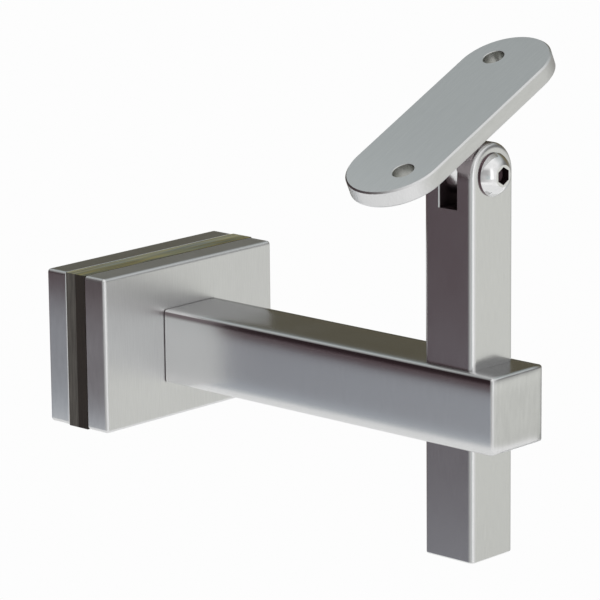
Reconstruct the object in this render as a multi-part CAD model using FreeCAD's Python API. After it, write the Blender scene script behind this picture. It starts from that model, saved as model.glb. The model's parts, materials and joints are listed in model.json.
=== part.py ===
"""Square-section handrail bracket for a glass balustrade, in stainless steel.

Two rectangular clamp plates grip the glass between rubber gaskets. A square arm stands out from the
front plate, a square post passes upright through the arm's free end, and a round-ended saddle plate
for the handrail tilts in the fork at the top of the post.

Millimetres. +X points away from the glass, +Z is up, and the handrail runs along Y. The origin is on
the arm's axis, in the plane where the two gaskets meet.
"""
import os

import FreeCAD
import Part
from FreeCAD import Vector
from math import atan2, cos, hypot, radians, sin, sqrt, tan

# Clamp plates and gaskets
plate_width = 64.0
plate_height = 42.0
plate_thickness = 7.5
plate_edge_radius = 1.0
plate_seat_break = 0.3
arm_drop = 1.0
gasket_thickness = 3.5

# Clamp screw, and its sleeve through the glass
clamp_screw_diameter = 8.0
clamp_screw_length = 45.0
clamp_head_diameter = 16.0
clamp_head_rim = 0.6
clamp_head_sink = 0.3
clamp_socket = 5.0
clamp_socket_depth = 3.2
clamp_thread_spare = 3.0
sleeve_wall = 1.8
sleeve_end_gap = 0.2

# Arm, and the dowels that stop it from turning on the front plate
arm_side_wall = 1.9
arm_end_wall = 7.9
arm_edge_radius = 0.8
arm_root_chamfer = 0.25
dowel_diameter = 3.0
dowel_length = 10.0
dowel_edge_distance = 3.8
dowel_end_gap = 0.3

# Post, and the grub screws that lock its height
post_size = 16.0
post_reach = 98.5
post_foot_drop = 40.0
post_edge_radius = 1.5
post_foot_radius = 0.4
pivot_height = 59.0
grub_diameter = 4.0
grub_spacing = 10.0
grub_sink = 0.3
grub_socket = 2.0
grub_socket_depth = 0.7

# Pivot screw
pivot_diameter = 6.0
pivot_screw_length = 14.0
pivot_head_diameter = 11.0
pivot_head_height = 3.3
pivot_head_rim = 0.5
pivot_head_flat = 5.6
pivot_socket = 4.0
pivot_socket_depth = 2.0

# Saddle plate and its lug
lug_thickness = 5.4
lug_width = 12.0
lug_floor_gap = 2.5
weld_leg = 1.0
saddle_length = 70.0
saddle_width = 26.0
saddle_thickness = 4.5
saddle_edge_break = 0.4
saddle_rise = 12.8
saddle_tilt = 25.5
rail_hole_diameter = 5.5
rail_hole_edge_break = 0.15
rail_hole_end_distance = 10.4
rail_hole_stagger = 4.4

# Gaps on one side, broken edges, and the slope of a drilled floor
slide_clearance = 0.1
lug_clearance = 0.1
bore_clearance = 0.05
loose_clearance = 0.2
dowel_clearance = 0.02
seat_clearance = 0.05
edge_break = 0.3
tip_chamfer = 0.5
floor_slope = 30.0
overrun = 1.0

# Worked out from the sizes above
origin = Vector(0, 0, 0)
x_axis = Vector(1, 0, 0)
y_axis = Vector(0, 1, 0)
z_axis = Vector(0, 0, 1)
front_face = gasket_thickness + plate_thickness
rear_face = -front_face
arm_size = post_size + 2 * (slide_clearance + arm_side_wall)
arm_length = post_reach + post_size / 2 + slide_clearance + arm_end_wall
post_centre = front_face + post_reach
fork_slot = lug_thickness + 2 * lug_clearance
slot_floor = pivot_height - lug_width / 2 - lug_floor_gap
clamp_hole_diameter = clamp_screw_diameter + 2 * loose_clearance
sleeve_diameter = clamp_hole_diameter + 2 * sleeve_wall
clamp_tip = rear_face + clamp_head_sink + clamp_screw_length
dowel_offset = arm_size / 2 - dowel_edge_distance
pivot_point = Vector(post_centre, 0, pivot_height)


def centred(size, middle=0.0):
    """The two limits of a size set about a middle."""
    return (middle - size / 2, middle + size / 2)


def block(x_limits, y_limits, z_limits):
    """A rectangular block between pairs of limits."""
    lengths = [high - low for low, high in (x_limits, y_limits, z_limits)]
    return Part.makeBox(*lengths, Vector(x_limits[0], y_limits[0], z_limits[0]))


def rod(diameter, start, end, y=0.0, z=0.0):
    """A round bar along X."""
    return Part.makeCylinder(diameter / 2, end - start, Vector(start, y, z), x_axis)


def turned(outline):
    """A solid turned about X. A corner is (x, radius), with a third entry where an arc arrives:
    the point that the arc passes through."""
    edges = []
    last = outline[-1]
    for corner in outline:
        start = Vector(last[0], 0, last[1])
        end = Vector(corner[0], 0, corner[1])
        if len(corner) == 3:
            through = Vector(corner[2][0], 0, corner[2][1])
            edges.append(Part.Arc(start, through, end).toShape())
        else:
            edges.append(Part.makeLine(start, end))
        last = corner
    return Part.Face(Part.Wire(edges)).revolve(origin, x_axis, 360)


def rectangle(x_size, y_size, z):
    """A level rectangular wire about the Z axis."""
    x, y = x_size / 2, y_size / 2
    corners = [Vector(x, y, z), Vector(-x, y, z), Vector(-x, -y, z), Vector(x, -y, z)]
    return Part.makePolygon(corners + corners[:1])


def near(a, b):
    return abs(a - b) < 1e-4


def edges_where(shape, test):
    """The edges whose bounding box passes a test."""
    return [edge for edge in shape.Edges if test(edge.BoundBox)]


def across_x(box):
    """True for an edge that lies in a plane square to X."""
    return near(box.XMin, box.XMax)


def blind_hole(diameter, mouth, floor, y=0.0, z=0.0):
    """A drilled hole along X from its mouth to its floor, which is a shallow cone."""
    radius = diameter / 2
    point = floor + radius * tan(radians(floor_slope))
    hole = turned([(mouth - overrun, 0), (mouth - overrun, radius), (floor, radius), (point, 0)])
    hole.translate(Vector(0, y, z))
    return hole


def key_socket(across_flats, depth):
    """A hexagon recess that opens towards +X at x = 0, with a drilled cone for its floor."""
    corner = across_flats / sqrt(3)
    angles = [radians(90 + 60 * k) for k in range(7)]
    ring = [Vector(-depth, corner * cos(a), corner * sin(a)) for a in angles]
    prism = Part.Face(Part.makePolygon(ring)).extrude(Vector(depth + overrun, 0, 0))
    drill = across_flats / 2
    cone_depth = drill * tan(radians(floor_slope))
    cone = Part.makeCone(0, drill, cone_depth, Vector(-depth - cone_depth, 0, 0), x_axis)
    return prism.fuse(cone)


def countersink(diameter, rim):
    """A 90 degree countersink that opens towards +X at x = 0, with a straight rim at its mouth."""
    radius = diameter / 2
    return turned([(overrun, 0), (overrun, radius), (-rim, radius), (-rim - radius, 0)])


def clamp_plate(back, front, seat):
    """A rectangular plate with the clamp screw's hole. Its edges are rounded, but only broken where it
    seats on its gasket."""
    plate = block((back, front), centred(plate_width), centred(plate_height, arm_drop))
    round_edges = edges_where(plate, lambda box: not (across_x(box) and near(box.XMax, seat)))
    plate = plate.makeFillet(plate_edge_radius, round_edges)
    seat_edges = edges_where(plate, lambda box: across_x(box) and near(box.XMax, seat))
    plate = plate.makeChamfer(plate_seat_break, seat_edges)
    return plate.cut(rod(clamp_hole_diameter, back - overrun, front + overrun))


def rear_plate():
    plate = clamp_plate(rear_face, rear_face + plate_thickness, rear_face + plate_thickness)
    recess = countersink(clamp_head_diameter + 2 * seat_clearance, clamp_head_sink + clamp_head_rim)
    recess.rotate(origin, z_axis, 180)
    recess.translate(Vector(rear_face, 0, 0))
    return plate.cut(recess)


def front_plate():
    plate = clamp_plate(front_face - plate_thickness, front_face, front_face - plate_thickness)
    floor = dowel_length / 2 + dowel_end_gap
    for side in (1, -1):
        hole = blind_hole(dowel_diameter + 2 * dowel_clearance, 0, floor)
        hole.rotate(origin, z_axis, 180)
        hole.translate(Vector(front_face, side * dowel_offset, side * dowel_offset))
        plate = plate.cut(hole)
    return plate


def gasket(back):
    """A rubber sheet as large as the plates, with a hole for the sleeve."""
    front = back + gasket_thickness
    sheet = block((back, front), centred(plate_width), centred(plate_height, arm_drop))
    hole_diameter = sleeve_diameter + 2 * bore_clearance
    return sheet.cut(rod(hole_diameter, back - overrun, front + overrun))


def glass_sleeve():
    """The plastic tube that keeps the clamp screw off the edge of the hole in the glass."""
    half_length = gasket_thickness - sleeve_end_gap
    tube = rod(sleeve_diameter, -half_length, half_length)
    return tube.cut(rod(clamp_hole_diameter, -half_length - overrun, half_length + overrun))


def clamp_screw():
    """A countersunk socket screw, its head towards -X."""
    head = clamp_head_diameter / 2
    shank = clamp_screw_diameter / 2
    neck = -clamp_head_rim - (head - shank)
    tip = -clamp_screw_length
    outline = [(0, 0), (0, head), (-clamp_head_rim, head), (neck, shank)]
    outline += [(tip + tip_chamfer, shank), (tip, shank - tip_chamfer), (tip, 0)]
    screw = turned(outline).cut(key_socket(clamp_socket, clamp_socket_depth))
    screw.rotate(origin, z_axis, 180)
    screw.translate(Vector(rear_face + clamp_head_sink, 0, 0))
    return screw


def dowel(side):
    pin = rod(dowel_diameter, *centred(dowel_length, front_face), side * dowel_offset, side * dowel_offset)
    return pin.makeChamfer(edge_break, edges_where(pin, across_x))


def post_hole():
    """The square hole that the post slides in, its corners rounded to suit the post's."""
    size = centred(post_size + 2 * slide_clearance)
    hole = block([post_centre + limit for limit in size], size, centred(2 * arm_size))
    upright = edges_where(hole, lambda box: box.ZLength > arm_size)
    return hole.makeFillet(post_edge_radius + slide_clearance, upright)


def grub_heights():
    """The heights of the two screws that press on the post."""
    return centred(grub_spacing)


def arm():
    tip = front_face + arm_length
    bar = block((front_face, tip), centred(arm_size), centred(arm_size))
    bar = bar.makeFillet(arm_edge_radius, edges_where(bar, lambda box: not near(box.XMax, front_face)))
    bar = bar.makeChamfer(arm_root_chamfer, edges_where(bar, lambda box: near(box.XMax, front_face)))
    bar = bar.cut(post_hole())
    thread = clamp_screw_diameter + 2 * bore_clearance
    bar = bar.cut(blind_hole(thread, front_face, clamp_tip + clamp_thread_spare))
    dowel_floor = front_face + dowel_length / 2 + dowel_end_gap
    dowel_hole = dowel_diameter + 2 * dowel_clearance
    for side in (1, -1):
        offset = side * dowel_offset
        bar = bar.cut(blind_hole(dowel_hole, front_face, dowel_floor, offset, offset))
    for height in grub_heights():
        mouth = Vector(post_centre, 0, height)
        bar = bar.cut(Part.makeCylinder(grub_diameter / 2 + bore_clearance, arm_size, mouth, y_axis))
    return bar


def grub_screw(height):
    """A headless socket screw in the arm's far side, its tip against the post."""
    outer_face = arm_size / 2 - grub_sink
    length = outer_face - post_size / 2 - seat_clearance
    shank = grub_diameter / 2
    outline = [(0, 0), (0, shank - edge_break), (-edge_break, shank)]
    outline += [(-length + edge_break, shank), (-length, shank - edge_break), (-length, 0)]
    screw = turned(outline).cut(key_socket(grub_socket, grub_socket_depth))
    screw.rotate(origin, z_axis, 90)
    screw.translate(Vector(post_centre, outer_face, height))
    return screw


def post():
    """A square bar with a round top about the pivot, slotted to a fork."""
    half = post_size / 2
    left, right = post_centre - half, post_centre + half
    foot = -post_foot_drop
    corners = [Vector(left, half, pivot_height), Vector(left, half, foot)]
    corners += [Vector(left, -half, foot), Vector(left, -half, pivot_height)]
    crown = Vector(left, 0, pivot_height + half)
    edges = [Part.makeLine(a, b) for a, b in zip(corners, corners[1:])]
    edges.append(Part.Arc(corners[-1], crown, corners[0]).toShape())
    bar = Part.Face(Part.Wire(edges)).extrude(Vector(post_size, 0, 0))
    outline = edges_where(bar, lambda box: across_x(box) and not near(box.ZMax, foot))
    bar = bar.makeFillet(post_edge_radius, outline)
    bar = bar.makeFillet(post_foot_radius, edges_where(bar, lambda box: near(box.ZMax, foot)))
    slot = centred(fork_slot, post_centre)
    bar = bar.cut(block(slot, centred(2 * post_size), (slot_floor, pivot_height + post_size)))
    for wall in slot:
        rims = edges_where(bar, lambda box: across_x(box) and near(box.XMin, wall) and box.ZLength > 1)
        bar = bar.makeChamfer(edge_break, rims)
    pivot_hole = rod(pivot_diameter + 2 * bore_clearance, left - overrun, right + overrun, 0, pivot_height)
    return bar.cut(pivot_hole)


def pivot_screw():
    """A button-head socket screw, its head on the outer ear and its thread in the inner one."""
    head = pivot_head_diameter / 2
    flat = pivot_head_flat / 2
    shank = pivot_diameter / 2
    top = pivot_head_height
    rim = pivot_head_rim
    tip = -pivot_screw_length
    dome_centre = (top ** 2 + flat ** 2 - rim ** 2 - head ** 2) / (2 * (top - rim))
    dome_radius = hypot(top - dome_centre, flat)
    middle = (atan2(flat, top - dome_centre) + atan2(head, rim - dome_centre)) / 2
    crest = (dome_centre + dome_radius * cos(middle), dome_radius * sin(middle))
    outline = [(top, 0), (top, flat), (rim, head, crest), (0, head), (0, shank)]
    outline += [(tip + tip_chamfer, shank), (tip, shank - tip_chamfer), (tip, 0)]
    socket = key_socket(pivot_socket, pivot_socket_depth)
    socket.translate(Vector(top, 0, 0))
    screw = turned(outline).cut(socket)
    screw.translate(pivot_point + Vector(post_size / 2, 0, 0))
    return screw


def tilted(shape):
    """Moves a piece from the saddle's own frame, level and with the pivot at its origin, to the post."""
    shape.rotate(origin, x_axis, saddle_tilt)
    shape.translate(pivot_point)
    return shape


def saddle_lug():
    """The tongue under the saddle plate, round about the pivot, with the weld about its root."""
    half = lug_width / 2
    x = -lug_thickness / 2
    corners = [Vector(x, half, 0), Vector(x, half, saddle_rise)]
    corners += [Vector(x, -half, saddle_rise), Vector(x, -half, 0)]
    edges = [Part.makeLine(a, b) for a, b in zip(corners, corners[1:])]
    edges.append(Part.Arc(corners[-1], Vector(x, 0, -half), corners[0]).toShape())
    lug = Part.Face(Part.Wire(edges)).extrude(Vector(lug_thickness, 0, 0))
    sides = edges_where(lug, lambda box: across_x(box) and not near(box.ZMin, saddle_rise))
    lug = lug.makeChamfer(edge_break, sides)
    neck = rectangle(lug_thickness, lug_width, saddle_rise - weld_leg)
    foot = rectangle(lug_thickness + 2 * weld_leg, lug_width + 2 * weld_leg, saddle_rise)
    weld = Part.makeLoft([neck, foot], True, True)
    hole = pivot_diameter + 2 * bore_clearance
    return tilted(lug.fuse(weld).cut(rod(hole, x - overrun, -x + overrun)))


def saddle_plate():
    """A round-ended plate with two staggered screw holes."""
    half_width = saddle_width / 2
    straight = saddle_length / 2 - half_width
    hole_reach = saddle_length / 2 - rail_hole_end_distance
    edges = []
    for side in (1, -1):
        before = Vector(side * half_width, -side * straight, saddle_rise)
        after = Vector(side * half_width, side * straight, saddle_rise)
        end = Vector(0, side * saddle_length / 2, saddle_rise)
        beyond = Vector(-side * half_width, side * straight, saddle_rise)
        edges += [Part.makeLine(before, after), Part.Arc(after, end, beyond).toShape()]
    plate = Part.Face(Part.Wire(edges)).extrude(Vector(0, 0, saddle_thickness))
    rims = edges_where(plate, lambda box: near(box.ZMin, box.ZMax))
    plate = plate.makeChamfer(saddle_edge_break, rims)
    for side in (1, -1):
        place = Vector(-side * rail_hole_stagger, side * hole_reach, saddle_rise)
        plate = plate.cut(Part.makeCylinder(rail_hole_diameter / 2, saddle_thickness, place))
    mouths = edges_where(plate, lambda box: near(box.ZMin, box.ZMax) and near(box.XLength, rail_hole_diameter))
    return tilted(plate.makeChamfer(rail_hole_edge_break, mouths))


def save(name, shape):
    solid = shape.Solids[0] if len(shape.Solids) == 1 else shape
    solid.exportStep("parts/" + name + ".step")


os.makedirs("parts", exist_ok=True)
save("rear_plate", rear_plate())
save("rear_gasket", gasket(-gasket_thickness))
save("front_gasket", gasket(0.0))
save("front_plate", front_plate())
save("clamp_screw", clamp_screw())
save("glass_sleeve", glass_sleeve())
save("upper_dowel", dowel(1))
save("lower_dowel", dowel(-1))
save("arm", arm())
for name, height in zip(("lower_grub_screw", "upper_grub_screw"), grub_heights()):
    save(name, grub_screw(height))
save("post", post())
save("pivot_screw", pivot_screw())
save("saddle_lug", saddle_lug())
save("saddle_plate", saddle_plate())
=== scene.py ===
"""The handrail bracket in a small white studio: camera, light, floor and finishes, in metres."""
import json
from math import atan2, cos, pi, radians, sin

import bpy
from mathutils import Matrix, Vector

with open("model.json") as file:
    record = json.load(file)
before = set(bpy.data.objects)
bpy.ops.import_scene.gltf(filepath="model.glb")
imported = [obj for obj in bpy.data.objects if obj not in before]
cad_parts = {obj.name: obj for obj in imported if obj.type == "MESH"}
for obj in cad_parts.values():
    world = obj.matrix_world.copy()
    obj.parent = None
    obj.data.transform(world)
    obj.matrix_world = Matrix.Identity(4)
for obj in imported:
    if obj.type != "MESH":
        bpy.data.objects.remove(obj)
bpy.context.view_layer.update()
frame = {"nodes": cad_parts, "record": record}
nodes = frame["nodes"]
mounts = frame["record"]["mounts"]
scene = bpy.context.scene
mm = 0.001

# Camera
camera_azimuth = radians(43.083)
camera_elevation = radians(13.176)
camera_roll = radians(-0.613)
camera_distance = 1.01416
camera_target = Vector((0.013425, 0.040799, 0.004021))
camera_clip = 0.01
frame_pixels = 600
focal_pixels = 3651.6
sensor_width = 36.0

# Floor
floor_drop = 0.30
floor_radius = 0.45
floor_corners = 96

# Sizes and places on the bracket
rail_face = next(mount for mount in mounts if mount["name"] == "rail_face")
post_centre = rail_face["pos_m"][0]
saddle_tilt = atan2(-rail_face["axis"][1], rail_face["axis"][2])
plate_height = 42.0 * mm
plate_front = 11.0 * mm
arm_size = 20.0 * mm
arm_edge_radius = 0.8 * mm
post_size = 16.0 * mm
pivot_height = 59.0 * mm
slot_width = 5.6 * mm
slot_floor = 50.5 * mm
saddle_length = 70.0 * mm
screw_head_width = 11.0 * mm
screw_head_height = 3.3 * mm
screw_head_flat = 5.6 * mm

# A reach of this length leaves a face flat along that axis
flat = 1.0

# Textures: features per metre, and the noise values that get the darkest and the lightest tone
grit_per_metre = 900.0
darkest_noise = 0.3
lightest_noise = 0.7

# Tints, as factors on red, green and blue
neutral = (1.0, 1.0, 1.0)
warm_dark = (1.0, 0.68, 0.76)
olive_dark = (1.0, 0.88, 0.56)
blue_grey = (0.84, 0.91, 1.0)
warm_light = (1.0, 1.01, 0.96)
cool = (0.91, 0.99, 1.0)

# The studio's light, in rings. A stop is a share of a turn, from the front (-Y) by the right (+X),
# then the light's level there, and a tint where it has one.
low_ring = [
    (0.0, 0.35), (0.08, 0.6), (0.13, 0.62, cool), (0.15, 0.66, cool), (0.17, 1.5), (0.19, 1.5),
    (0.21, 0.95), (0.28, 0.9), (0.33, 0.76, warm_light), (0.45, 0.72, warm_light), (0.55, 0.4),
    (0.62, 0.2, olive_dark), (0.75, 0.12, warm_dark), (0.83, 0.09, warm_dark), (0.93, 0.09, warm_dark),
    (0.98, 0.25), (1.0, 0.35)]
mid_ring = [
    (0.0, 0.4), (0.12, 0.5), (0.15, 0.6), (0.17, 1.3), (0.19, 1.3), (0.21, 0.95), (0.28, 0.8),
    (0.35, 0.25), (0.45, 0.18), (0.52, 0.19, olive_dark), (0.58, 0.11, olive_dark),
    (0.68, 0.055, olive_dark), (0.80, 0.05, warm_dark), (0.93, 0.06, warm_dark), (1.0, 0.4)]
high_ring = [
    (0.0, 0.9), (0.12, 0.95), (0.3, 0.95), (0.5, 0.5, cool), (0.60, 0.26, cool), (0.66, 0.45, cool),
    (0.72, 0.60, cool), (0.80, 0.45), (0.86, 0.25), (0.94, 0.3), (1.0, 0.9)]
ground_ring = [
    (0.0, 0.45), (0.2, 0.9), (0.33, 0.64, warm_light), (0.48, 0.6, warm_light), (0.6, 0.5, blue_grey),
    (0.75, 0.5, blue_grey), (0.95, 0.45, blue_grey), (1.0, 0.6)]
nadir_level = 1.0
zenith_level = 1.05
background_level = 0.982


def make_camera():
    """The photograph's view, given by the direction from the target back to the eye."""
    a, e, r = camera_azimuth, camera_elevation, camera_roll
    back = Vector((sin(a) * cos(e), -cos(a) * cos(e), sin(e)))
    level = Vector((cos(a), sin(a), 0))
    up = back.cross(level)
    right = cos(r) * level + sin(r) * up
    up = back.cross(right)
    data = bpy.data.cameras.new("camera")
    data.sensor_width = sensor_width
    data.lens = focal_pixels * sensor_width / frame_pixels
    data.clip_start = camera_clip
    camera = bpy.data.objects.new("camera", data)
    turn = Matrix((right, up, back)).transposed().to_4x4()
    camera.matrix_world = Matrix.Translation(camera_target + camera_distance * back) @ turn
    scene.collection.objects.link(camera)
    scene.camera = camera


def shade(colour, level, tint=neutral):
    """An opaque colour, made lighter or darker and tinted."""
    return tuple(level * c * t for c, t in zip(colour, tint)) + (1,)


def grey(level, tint=neutral):
    """An opaque grey with a tint."""
    return shade(tint, level)


class Nodes:
    """Short calls for building a node tree. What they take is a constant or another node's socket."""

    def __init__(self, tree):
        self.tree = tree
        tree.nodes.clear()

    def feed(self, socket, value):
        """Links a socket to another one, or sets its constant."""
        if isinstance(value, bpy.types.NodeSocket):
            self.tree.links.new(value, socket)
        else:
            socket.default_value = value

    def add(self, kind, inputs=None, **settings):
        """A node with its settings and inputs."""
        node = self.tree.nodes.new(kind)
        for name, value in settings.items():
            setattr(node, name, value)
        for name, value in (inputs or {}).items():
            self.feed(node.inputs[name], value)
        return node

    def coordinates(self, name):
        """Texture coordinates: a place in the object's own frame, its normal, or the world's direction."""
        return self.add("ShaderNodeTexCoord").outputs[name]

    def parts(self, vector):
        """The x, y and z of a vector."""
        return self.add("ShaderNodeSeparateXYZ", {0: vector}).outputs

    def mapped(self, vector, inputs):
        """A vector that is moved, turned and scaled."""
        return self.add("ShaderNodeMapping", {"Vector": vector, **inputs}).outputs[0]

    def math(self, operation, *values):
        """Arithmetic on numbers."""
        return self.add("ShaderNodeMath", dict(enumerate(values)), operation=operation).outputs[0]

    def vector(self, operation, *values):
        """Arithmetic on vectors, which gives a number for a dot product or a length."""
        node = self.add("ShaderNodeVectorMath", dict(enumerate(values)), operation=operation)
        return node.outputs["Value" if operation in ("DOT_PRODUCT", "LENGTH") else "Vector"]

    def distance(self, place, centre, axis):
        """How far a place is from an axis."""
        apart = self.vector("SUBTRACT", place, centre)
        return self.vector("LENGTH", self.vector("CROSS_PRODUCT", apart, axis))

    def smooth(self, value, start, end, low=0.0, high=1.0):
        """A smooth step from low to high as a value goes from start to end."""
        inputs = {"Value": value, "From Min": start, "From Max": end, "To Min": low, "To Max": high}
        return self.add("ShaderNodeMapRange", inputs, interpolation_type="SMOOTHSTEP").outputs["Result"]

    def mix(self, factor, first, second):
        """A colour between two."""
        node = self.add("ShaderNodeMix", data_type="RGBA")
        factor_socket, first_socket, second_socket = (node.inputs[k] for k in (0, 6, 7))
        self.feed(factor_socket, factor)
        self.feed(first_socket, first)
        self.feed(second_socket, second)
        return node.outputs[2]

    def ramp(self, value, stops):
        """A colour ramp through (place, colour) stops."""
        node = self.add("ShaderNodeValToRGB", {"Fac": value})
        elements = node.color_ramp.elements
        elements[0].position, elements[0].color = stops[0]
        elements[1].position, elements[1].color = stops[-1]
        for place, colour in stops[1:-1]:
            elements.new(place).color = colour
        return node.outputs["Color"]

    def noise(self, place, detail, scale=1.0, roughness=0.5):
        """A noise between 0 and 1, with scale features per metre and its detail in octaves."""
        inputs = {"Vector": place, "Scale": scale, "Detail": detail, "Roughness": roughness}
        return self.add("ShaderNodeTexNoise", inputs).outputs["Fac"]

    def two_tone(self, noise, dark, light):
        """A noise's tone between two colours."""
        return self.ramp(noise, [(darkest_noise, dark), (lightest_noise, light)])

    def bump(self, height, distance, inputs=None):
        """A normal that follows a height."""
        settings = {"Strength": 1.0, "Distance": distance, "Height": height}
        return self.add("ShaderNodeBump", {**settings, **(inputs or {})}).outputs[0]

    def matt(self, level, glow):
        """A matt grey surface that also glows."""
        diffuse = self.add("ShaderNodeBsdfDiffuse", {"Color": grey(level)}).outputs[0]
        emission = self.add("ShaderNodeEmission", {"Color": grey(glow)}).outputs[0]
        return self.add("ShaderNodeAddShader", {0: diffuse, 1: emission}).outputs[0]

    def surface(self, inputs):
        """A metal, rubber or plastic surface with these inputs."""
        shader = self.add("ShaderNodeBsdfPrincipled", inputs)
        self.add("ShaderNodeOutputMaterial", {"Surface": shader.outputs[0]})


def new_material(name):
    """A material with an empty node tree, and the calls that fill it."""
    material = bpy.data.materials.new(name)
    material.use_nodes = True
    return material, Nodes(material.node_tree)


def make_world():
    """A studio in the round. The low ring is covered layer by layer, and the camera sees plain white."""
    world = bpy.data.worlds.new("studio")
    scene.world = world
    world.use_nodes = True
    n = Nodes(world.node_tree)
    x, y, z = n.parts(n.coordinates("Generated"))
    turn = n.math("ARCTAN2", x, n.math("MULTIPLY", y, -1.0))
    share = n.math("FRACT", n.math("ADD", n.math("DIVIDE", turn, 2 * pi), 1.0))

    def light(ring):
        """A ring's light in the direction that is looked up."""
        return n.ramp(share, [(stop[0], grey(*stop[1:])) for stop in ring])

    # A layer fades in from its first elevation to its second, in degrees, and covers all beyond it
    layers = [
        (light(mid_ring), -8, 8), (light(high_ring), 20, 42), (light(ground_ring), -15, -20),
        (grey(nadir_level), -26, -36), (grey(zenith_level), 55, 75)]
    studio = light(low_ring)
    for layer, start, end in layers:
        studio = n.mix(n.smooth(z, sin(radians(start)), sin(radians(end))), studio, layer)
    path = n.add("ShaderNodeLightPath")
    seen = n.mix(path.outputs["Is Camera Ray"], studio, grey(background_level))
    background = n.add("ShaderNodeBackground", {"Color": seen, "Strength": 1.0})
    n.add("ShaderNodeOutputWorld", {"Surface": background.outputs[0]})


def make_floor():
    """A round pale floor well below the bracket. It takes the bracket's soft shadow."""
    turns = [2 * pi * k / floor_corners for k in range(floor_corners)]
    corners = [(floor_radius * cos(a), floor_radius * sin(a), -floor_drop) for a in turns]
    mesh = bpy.data.meshes.new("floor")
    mesh.from_pydata(corners, [], [tuple(range(floor_corners))])
    floor = bpy.data.objects.new("floor", mesh)
    scene.collection.objects.link(floor)
    material, n = new_material("floor")
    path = n.add("ShaderNodeLightPath")
    mirrored = n.matt(level=0.85, glow=0.36)
    seen = n.matt(level=0.35, glow=0.72)
    inputs = {0: path.outputs["Is Camera Ray"], 1: mirrored, 2: seen}
    n.add("ShaderNodeOutputMaterial", {"Surface": n.add("ShaderNodeMixShader", inputs).outputs[0]})
    mesh.materials.append(material)


def crowned(n, middle=(0, 0, 0), reach=(flat, flat, flat), crown=0.0, lean=0.0, power=4, side_only=False):
    """The slight swell of a ground face, as a normal. The face turns by the crown's slope where it is the
    reach away from the middle, and much less nearer to it. The lean is an even slope along Z. With
    side_only, faces other than those towards -Y stay plane."""
    plane_side, swelling_side = -0.9, -0.99
    offset = n.vector("SUBTRACT", n.coordinates("Object"), middle)
    share = n.vector("DIVIDE", offset, reach)
    square = n.vector("MULTIPLY", share, share)
    raised = square
    for _ in range(power // 2 - 1):
        raised = n.vector("MULTIPLY", raised, square)
    depths = [crown * r / power if r < flat else 0.0 for r in reach]
    fall = n.vector("DOT_PRODUCT", raised, depths)
    rise = n.vector("DOT_PRODUCT", offset, (0, 0, lean))
    strength = 1.0
    if side_only:
        strength = n.smooth(n.parts(n.coordinates("Normal"))[1], plane_side, swelling_side)
    return n.bump(n.math("SUBTRACT", rise, fall), 1.0, {"Strength": strength})


def steel(name, grain, level=0.74, roughness=0.2, tilt=0.0, scratch=0.0015 * mm, painted_shade=None, **swell):
    """Brushed stainless steel. The grain is the number of streaks per millimetre along each axis, and the
    scratch is their depth. The painted-shade function darkens the tone in places as painted shade and
    changes the roughness there, and the swell is what crowned takes."""
    darkest, lightest = 0.95, 1.04
    clouds_per_metre = 60.0
    spread = 0.06
    material, n = new_material(name)
    place = n.coordinates("Object")
    turned = n.mapped(place, {"Rotation": (-tilt, 0, 0)})
    streak = n.noise(n.mapped(turned, {"Scale": [g / mm for g in grain]}), detail=4.0, roughness=0.6)
    cloud = n.noise(place, detail=2.0, scale=clouds_per_metre)
    tone = n.two_tone(streak, grey(level * darkest), grey(level * lightest))
    rough = n.math("ADD", n.math("MULTIPLY", n.math("ADD", streak, cloud), spread), roughness - spread)
    # Painted shade from the given function, darkening the tone in places
    if painted_shade:
        tone, rough = painted_shade(n, tone, rough)
    normal = n.bump(streak, scratch, {"Normal": crowned(n, **swell)})
    n.surface({"Base Color": tone, "Metallic": 1.0, "Roughness": rough, "Normal": normal})
    return material


def arm_painted_shade(n, tone, rough):
    """Painted shade on the arm: a dark line under its sides' top edges, painted as a dark reflection, and a
    painted shadow in the seam at its root.
    """
    side_top = arm_size / 2 - arm_edge_radius
    line_start = side_top - 1.4 * mm
    line_full = side_top - 0.3 * mm
    line_strength = 0.8
    turned_away, sideways = 0.85, 0.95
    seam_start = plate_front + 0.32 * mm
    seam_full = plate_front + 0.22 * mm
    x, _, z = n.parts(n.coordinates("Object"))
    facing = n.math("ABSOLUTE", n.parts(n.coordinates("Normal"))[1])
    shade_line = n.math("MULTIPLY", n.smooth(z, line_start, line_full), n.smooth(facing, turned_away, sideways))
    # Painted shade: a dark line under the arm's top edges, a painted dark reflection
    tone = n.mix(n.math("MULTIPLY", shade_line, line_strength), tone, grey(0.16, warm_dark))
    # Painted shadow in the seam where the arm meets the front plate
    tone = n.mix(n.smooth(x, seam_start, seam_full), tone, grey(0.06, warm_dark))
    return tone, rough


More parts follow.
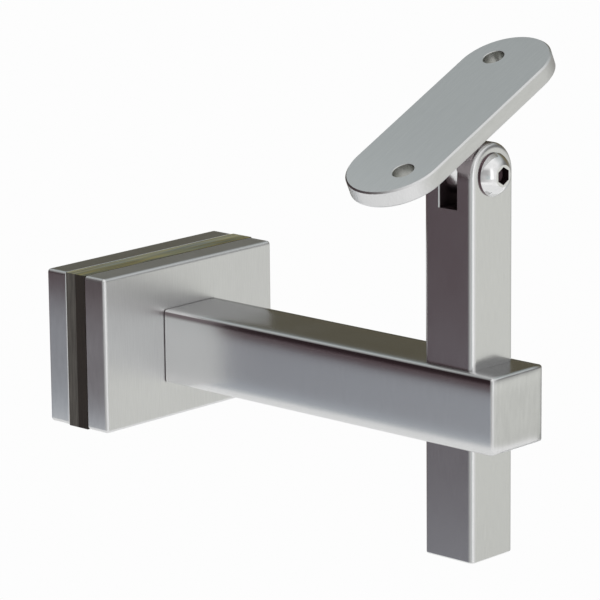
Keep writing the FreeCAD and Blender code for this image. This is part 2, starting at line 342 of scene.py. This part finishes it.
def post_painted_shade(n, tone, rough):
    """Painted shade on the post: the ears' round rims darker than their flat faces, and the slot's walls
    dark as shade in the slot, and duller there.
    """
    rim_start = pivot_height - 1.5 * mm
    rim_full = pivot_height + 1.5 * mm
    rim_strength = 0.7
    flat_face, round_rim = 0.55, 0.25
    wall_start = slot_width / 2 + 0.25 * mm
    wall_full = slot_width / 2 + 0.1 * mm
    mouth_start = post_size / 2 - 0.1 * mm
    mouth_full = post_size / 2 - 0.4 * mm
    lowest = slot_floor - 0.1 * mm
    added_roughness = 0.3
    x, y, z = n.parts(n.coordinates("Object"))
    facing = n.math("ABSOLUTE", n.parts(n.coordinates("Normal"))[0])
    rim_shade = n.math("MULTIPLY", n.smooth(facing, flat_face, round_rim), n.smooth(z, rim_start, rim_full))
    # Painted shade: the ears' round rims darker than their flat faces, a painted dark reflection
    tone = n.mix(n.math("MULTIPLY", rim_shade, rim_strength), tone, grey(0.17, warm_dark))
    across = n.math("ABSOLUTE", n.math("SUBTRACT", x, post_centre))
    along = n.math("ABSOLUTE", y)
    wall_shade = n.smooth(across, wall_start, wall_full)
    wall_shade = n.math("MULTIPLY", wall_shade, n.smooth(along, mouth_start, mouth_full))
    wall_shade = n.math("MULTIPLY", wall_shade, n.math("GREATER_THAN", z, lowest))
    # Painted shade on the slot's walls, as shade inside the slot
    tone = n.mix(wall_shade, tone, grey(0.10, warm_dark))
    rough = n.math("ADD", rough, n.math("MULTIPLY", wall_shade, added_roughness))
    return tone, rough


def saddle_painted_shade(n, tone, rough):
    """The walls of the rail's screw holes, painted an even darker grey as shade in the holes."""
    place = n.coordinates("Object")
    bores = [mount for mount in mounts if mount["kind"] == "bore"]
    for bore in bores:
        radius = bore["dims"]["r_mm"] * mm
        distance = n.distance(place, bore["pos_m"], bore["axis"])
        wall_shade = n.smooth(distance, radius + 0.12 * mm, radius + 0.02 * mm)
        # Painted shade on the walls of the screw holes
        tone = n.mix(wall_shade, tone, grey(0.42, warm_light))
    return tone, rough


def rubber(name, colour, top_light):
    """Matt rubber, its cut edges a little streaked, and paler where it faces up, which is painted top light
    in streaks and patches.
    """
    streaks_per_metre = (1800, 60, 120)
    patches_per_metre = (900, 45, 90)
    patch_shift = (3.0, 1.0, 0.0)
    fine_grit_per_metre = 2500.0
    grit_depth = 0.02 * mm
    darkest, lightest = 0.7, 1.3
    upright, facing_up = 0.3, 0.9
    faint_light_streak, full_light_streak = 0.3, 0.65
    faint_top_light = 0.4
    greenish_patch, greenish = 0.42, (0.82, 0.9, 1.05)
    golden_patch, golden = 0.6, (1.3, 1.15, 0.78)
    material, n = new_material(name)
    place = n.coordinates("Object")
    streak = n.noise(n.mapped(place, {"Scale": streaks_per_metre}), detail=4.0)
    patch = n.noise(n.mapped(place, {"Scale": patches_per_metre, "Location": patch_shift}), detail=3.0)
    grit = n.noise(place, detail=2.0, scale=fine_grit_per_metre)
    up = n.smooth(n.parts(n.coordinates("Normal"))[2], upright, facing_up)
    # Painted top light: faces that look up are paler
    top_lit = n.math("MULTIPLY", up, n.smooth(streak, faint_light_streak, full_light_streak, low=faint_top_light))
    top_light_tone = n.ramp(patch, [
        (greenish_patch, shade(top_light, 1.0, greenish)), (golden_patch, shade(top_light, 1.0, golden))])
    tone = n.two_tone(streak, shade(colour, darkest), shade(colour, lightest))
    # Painted top light laid over the rubber's own streaked tone
    tone = n.mix(top_lit, tone, top_light_tone)
    normal = n.bump(n.math("ADD", grit, streak), grit_depth)
    n.surface({"Base Color": tone, "Roughness": 0.65, "Normal": normal})
    return material


def plain(name, colour, roughness, depth, metallic=0.0):
    """A plain finish with a fine grit of some depth."""
    darkest, lightest = 0.85, 1.12
    spread = 0.1
    material, n = new_material(name)
    grit = n.noise(n.coordinates("Object"), detail=3.0, scale=grit_per_metre)
    tone = n.two_tone(grit, shade(colour, darkest), shade(colour, lightest))
    rough = n.math("ADD", n.math("MULTIPLY", grit, spread), roughness - spread / 2)
    normal = n.bump(grit, depth)
    n.surface({"Base Color": tone, "Metallic": metallic, "Roughness": rough, "Normal": normal})
    return material


def button_head(name):
    """The pivot screw's polished head, which looks along +X, with painted shade in its socket and round its
    foot.
    """
    seat = (post_centre + post_size / 2, 0, pivot_height)
    socket_start = screw_head_height - 0.04 * mm
    socket_full = screw_head_height - 0.2 * mm
    foot_start = 0.6 * mm
    foot_full = 0.4 * mm
    foot_radius = screw_head_width / 2 - 0.4 * mm
    below_seat = -0.1 * mm
    polished, dull = 0.07, 0.5
    material, n = new_material(name)
    place = n.coordinates("Object")
    grit = n.noise(place, detail=3.0, scale=grit_per_metre)
    along = n.parts(n.vector("SUBTRACT", place, seat))[0]
    distance = n.distance(place, seat, (1, 0, 0))
    above_seat = n.smooth(along, below_seat, 0.0)
    sunk = n.math("MULTIPLY", n.smooth(along, socket_start, socket_full), above_seat)
    socket = n.math("MULTIPLY", sunk, n.math("LESS_THAN", distance, screw_head_flat / 2))
    low = n.smooth(along, foot_start, foot_full)
    foot_shade = n.math("MULTIPLY", low, n.math("GREATER_THAN", distance, foot_radius))
    tone = n.two_tone(grit, grey(0.78), grey(0.84))
    # Painted shade in the hex socket
    tone = n.mix(socket, tone, grey(0.07, warm_dark))
    # Painted shade round the foot of the head
    tone = n.mix(foot_shade, tone, grey(0.12, warm_dark))
    n.surface({"Base Color": tone, "Metallic": 1.0, "Roughness": n.smooth(socket, 0.0, 1.0, polished, dull)})
    return material


def finish_nodes():
    """Every node gets its finish. The screws and dowels that have none of their own share one."""
    half_post = post_size / 2
    plate_reach = (flat, flat, plate_height / 2)
    finishes = {
        "arm": steel("arm_steel", grain=(6, 0.7, 0.15), roughness=0.24, painted_shade=arm_painted_shade,
                     reach=(flat, arm_size / 2, arm_size / 2), crown=0.45, lean=0.06, power=6),
        "post": steel("post_steel", grain=(6, 6, 0.2), painted_shade=post_painted_shade,
                      middle=(post_centre, 0, 0), reach=(half_post, half_post, flat), crown=0.1),
        "saddle_plate": steel("saddle_steel", grain=(6, 0.2, 0.7), roughness=0.32, tilt=saddle_tilt,
                              painted_shade=saddle_painted_shade, reach=(flat, saddle_length / 2, flat), crown=0.06),
        # The lug's steel is a paler copy of the others, a painted highlight on its edge in the slot
        "saddle_lug": steel("lug_steel_painted_highlight", grain=(6, 6, 0.2), level=0.85, tilt=saddle_tilt),
        "front_plate": steel("front_plate_steel", grain=(0.7, 6, 0.2), level=0.77, roughness=0.36,
                             scratch=0.0008 * mm, reach=plate_reach, crown=0.2, lean=-0.02, side_only=True),
        "rear_plate": steel("rear_plate_steel", grain=(0.7, 6, 0.2), roughness=0.3,
                            reach=plate_reach, crown=0.15, lean=0.07),
        "front_gasket": rubber("front_gasket_rubber", colour=(0.026, 0.018, 0.013), top_light=(0.27, 0.27, 0.16)),
        "rear_gasket": rubber("rear_gasket_rubber", colour=(0.11, 0.10, 0.088), top_light=(0.34, 0.34, 0.23)),
        "pivot_screw": button_head("pivot_screw_steel"),
        "glass_sleeve": plain("sleeve_nylon", (0.75, 0.75, 0.7), roughness=0.45, depth=0.004 * mm),
    }
    fastener = plain("screw_steel", (0.8, 0.8, 0.79), roughness=0.12, depth=0.0002 * mm, metallic=1.0)
    for name, node in nodes.items():
        for slot in node.material_slots:
            slot.material = finishes.get(name, fastener)


make_camera()
make_world()
make_floor()
finish_nodes()
scene.view_settings.view_transform = "Standard"
